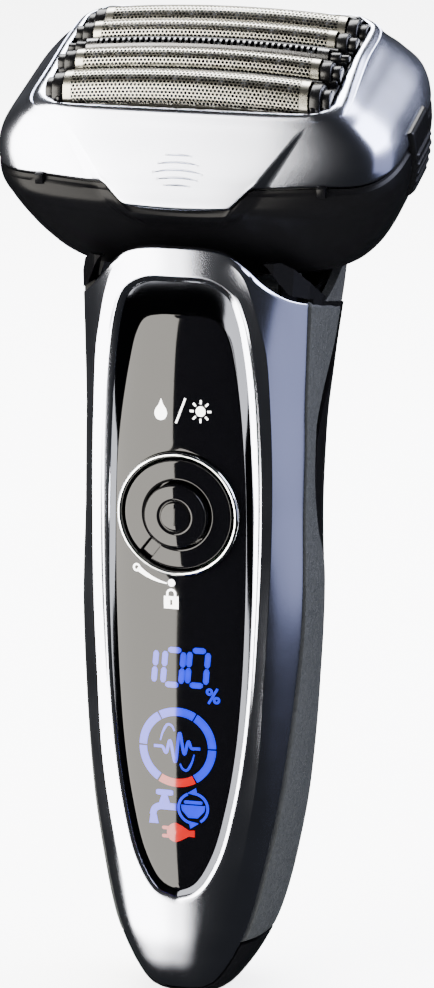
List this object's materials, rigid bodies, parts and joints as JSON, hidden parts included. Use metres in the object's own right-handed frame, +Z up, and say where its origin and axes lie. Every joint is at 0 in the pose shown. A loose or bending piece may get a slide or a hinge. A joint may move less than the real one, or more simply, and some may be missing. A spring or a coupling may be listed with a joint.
{
  "type": "electric shaver",
  "caption": "Hand-held wet and dry foil shaver: plated handle with a gloss display window, lock dial and power button, soft side grips, tilting head with arched foils, and a pop-up trimmer.",
  "frame": {"origin": "centre of the handle's flat foot, where the charging inlet is", "axes": "+Z up along the handle towards the head, the display window faces -Y, +X is to the right of someone facing the window"},
  "size_m": [0.0702, 0.05, 0.1623],
  "materials": {
    "silver": "satin plated plastic",
    "chrome_trim": "bright plating",
    "black_plastic": "satin moulding",
    "window": "gloss",
    "grip": "soft, leather-grained",
    "seal": "soft moulding",
    "grey_plastic": "moulded",
    "board": "solder mask",
    "cell": "shrink wrap",
    "nickel": "nickel plate",
    "iron": "laminated iron",
    "copper": "enamelled wire",
    "foil_steel": "perforated nickel foil",
    "blade_steel": "ground steel"
  },
  "bodies": {
    "handle": {"front_panel": "silver", "grip_left": "grip", "grip_right": "grip", "rear_cover": "black_plastic", "shoulder_collar": "black_plastic", "window_bezel": "chrome_trim", "window_lens": "window", "dial_ring": "chrome_trim", "button_seal": "seal", "power_switch": "grey_plastic", "display_module": "window", "main_board": "board", "inner_chassis": "grey_plastic", "battery_cell": "cell", "battery_tab_bottom": "nickel", "battery_tab_top": "nickel", "inlet_socket": "black_plastic", "inlet_seal": "seal", "inlet_pin_left": "nickel", "inlet_pin_right": "nickel", "board_screw_1": "nickel", "board_screw_2": "nickel", "board_screw_3": "nickel", "board_screw_4": "nickel"},
    "power_button": {"power_button": "chrome_trim"},
    "lock_dial": {"lock_dial": "chrome_trim"},
    "trimmer": {"trimmer_slide": "grey_plastic", "trimmer_comb": "blade_steel"},
    "trimmer_cutter": {"trimmer_cutter": "blade_steel"},
    "float_carrier": {"float_carrier": "grey_plastic"},
    "gimbal_ring": {"gimbal_ring": "grey_plastic"},
    "head": {"head_base": "black_plastic", "stator_core": "iron", "stator_coil": "copper", "drive_deck": "seal"},
    "mover_front": {"mover_front": "grey_plastic"},
    "mover_rear": {"mover_rear": "grey_plastic"},
    "release_left": {"release_button_left": "grey_plastic"},
    "release_right": {"release_button_right": "grey_plastic"},
    "foil_frame": {"foil_frame": "silver", "foil_cassette": "black_plastic"},
    "foil_front": {"foil_front": "foil_steel"},
    "foil_mid_front": {"foil_mid_front": "foil_steel"},
    "foil_mid_rear": {"foil_mid_rear": "foil_steel"},
    "foil_rear": {"foil_rear": "foil_steel"},
    "slit_comb": {"slit_comb": "foil_steel"},
    "blade_front": {"blade_front": "blade_steel"},
    "blade_mid_front": {"blade_mid_front": "blade_steel"},
    "blade_mid_rear": {"blade_mid_rear": "blade_steel"},
    "blade_rear": {"blade_rear": "blade_steel"},
    "slit_cutter": {"slit_cutter": "blade_steel"}
  },
  "joints": [
    {"name": "button_press", "type": "slide", "parent": "handle", "child": "power_button", "axis": [0, 1, 0], "range_m": [0, 0.0005], "stiffness_N_per_m": 1500, "springref_m": -0.0006},
    {"name": "lock_turn", "type": "hinge", "parent": "handle", "child": "lock_dial", "pos_m": [0, -0.0075, 0.0824], "axis": [0, 1, 0], "range_deg": [0, 38]},
    {"name": "trimmer_pop", "type": "slide", "parent": "handle", "child": "trimmer", "axis": [0, 0.1889, 0.982], "range_m": [0, 0.008]},
    {"name": "trimmer_shuttle", "type": "slide", "parent": "trimmer", "child": "trimmer_cutter", "axis": [1, 0, 0], "range_m": [-0.0006, 0.0006]},
    {"name": "head_float", "type": "slide", "parent": "handle", "child": "float_carrier", "axis": [0, -0.3256, 0.9455], "range_m": [-0.0015, 0], "stiffness_N_per_m": 900, "springref_m": 0.0015},
    {"name": "head_roll", "type": "hinge", "parent": "float_carrier", "child": "gimbal_ring", "pos_m": [0, 0.01735, 0.13044], "axis": [0, 0.9455, 0.3256], "range_deg": [-5, 5], "stiffness_Nm_per_rad": 0.35},
    {"name": "head_pitch", "type": "hinge", "parent": "gimbal_ring", "child": "head", "pos_m": [0, 0.01735, 0.13044], "axis": [1, 0, 0], "range_deg": [-7, 7], "stiffness_Nm_per_rad": 0.45},
    {"name": "drive_front", "type": "slide", "parent": "head", "child": "mover_front", "axis": [1, 0, 0], "range_m": [-0.001, 0.001], "stiffness_N_per_m": 400},
    {"name": "drive_rear", "type": "slide", "parent": "head", "child": "mover_rear", "axis": [1, 0, 0], "range_m": [-0.001, 0.001], "stiffness_N_per_m": 400},
    {"name": "release_left_press", "type": "slide", "parent": "head", "child": "release_left", "axis": [1, 0, 0], "range_m": [0, 0.0012], "stiffness_N_per_m": 800, "springref_m": -0.0006},
    {"name": "release_right_press", "type": "slide", "parent": "head", "child": "release_right", "axis": [1, 0, 0], "range_m": [-0.0012, 0], "stiffness_N_per_m": 800, "springref_m": 0.0006},
    {"name": "frame_lift", "type": "slide", "parent": "head", "child": "foil_frame", "axis": [0, -0.3256, 0.9455], "range_m": [0, 0.03]},
    {"name": "foil_front_float", "type": "slide", "parent": "foil_frame", "child": "foil_front", "axis": [0, -0.3256, 0.9455], "range_m": [-0.001, 0], "stiffness_N_per_m": 300, "springref_m": 0.0008},
    {"name": "foil_mid_front_float", "type": "slide", "parent": "foil_frame", "child": "foil_mid_front", "axis": [0, -0.3256, 0.9455], "range_m": [-0.001, 0], "stiffness_N_per_m": 300, "springref_m": 0.0008},
    {"name": "foil_mid_rear_float", "type": "slide", "parent": "foil_frame", "child": "foil_mid_rear", "axis": [0, -0.3256, 0.9455], "range_m": [-0.001, 0], "stiffness_N_per_m": 300, "springref_m": 0.0008},
    {"name": "foil_rear_float", "type": "slide", "parent": "foil_frame", "child": "foil_rear", "axis": [0, -0.3256, 0.9455], "range_m": [-0.001, 0], "stiffness_N_per_m": 300, "springref_m": 0.0008},
    {"name": "slit_comb_float", "type": "slide", "parent": "foil_frame", "child": "slit_comb", "axis": [0, -0.3256, 0.9455], "range_m": [-0.001, 0], "stiffness_N_per_m": 300, "springref_m": 0.0008},
    {"name": "blade_front_float", "type": "slide", "parent": "mover_front", "child": "blade_front", "axis": [0, -0.3256, 0.9455], "range_m": [-0.001, 0]},
    {"name": "blade_mid_front_float", "type": "slide", "parent": "mover_front", "child": "blade_mid_front", "axis": [0, -0.3256, 0.9455], "range_m": [-0.001, 0]},
    {"name": "blade_mid_rear_float", "type": "slide", "parent": "mover_rear", "child": "blade_mid_rear", "axis": [0, -0.3256, 0.9455], "range_m": [-0.001, 0]},
    {"name": "blade_rear_float", "type": "slide", "parent": "mover_rear", "child": "blade_rear", "axis": [0, -0.3256, 0.9455], "range_m": [-0.001, 0]},
    {"name": "slit_cutter_float", "type": "slide", "parent": "mover_rear", "child": "slit_cutter", "axis": [0, -0.3256, 0.9455], "range_m": [-0.001, 0]}
  ],
  "couplings": [
    {"joint": "drive_rear", "follows": "drive_front", "ratio": -1},
    {"joint": "blade_front_float", "follows": "foil_front_float", "ratio": 1},
    {"joint": "blade_mid_front_float", "follows": "foil_mid_front_float", "ratio": 1},
    {"joint": "blade_mid_rear_float", "follows": "foil_mid_rear_float", "ratio": 1},
    {"joint": "blade_rear_float", "follows": "foil_rear_float", "ratio": 1},
    {"joint": "slit_cutter_float", "follows": "slit_comb_float", "ratio": 1}
  ]
}
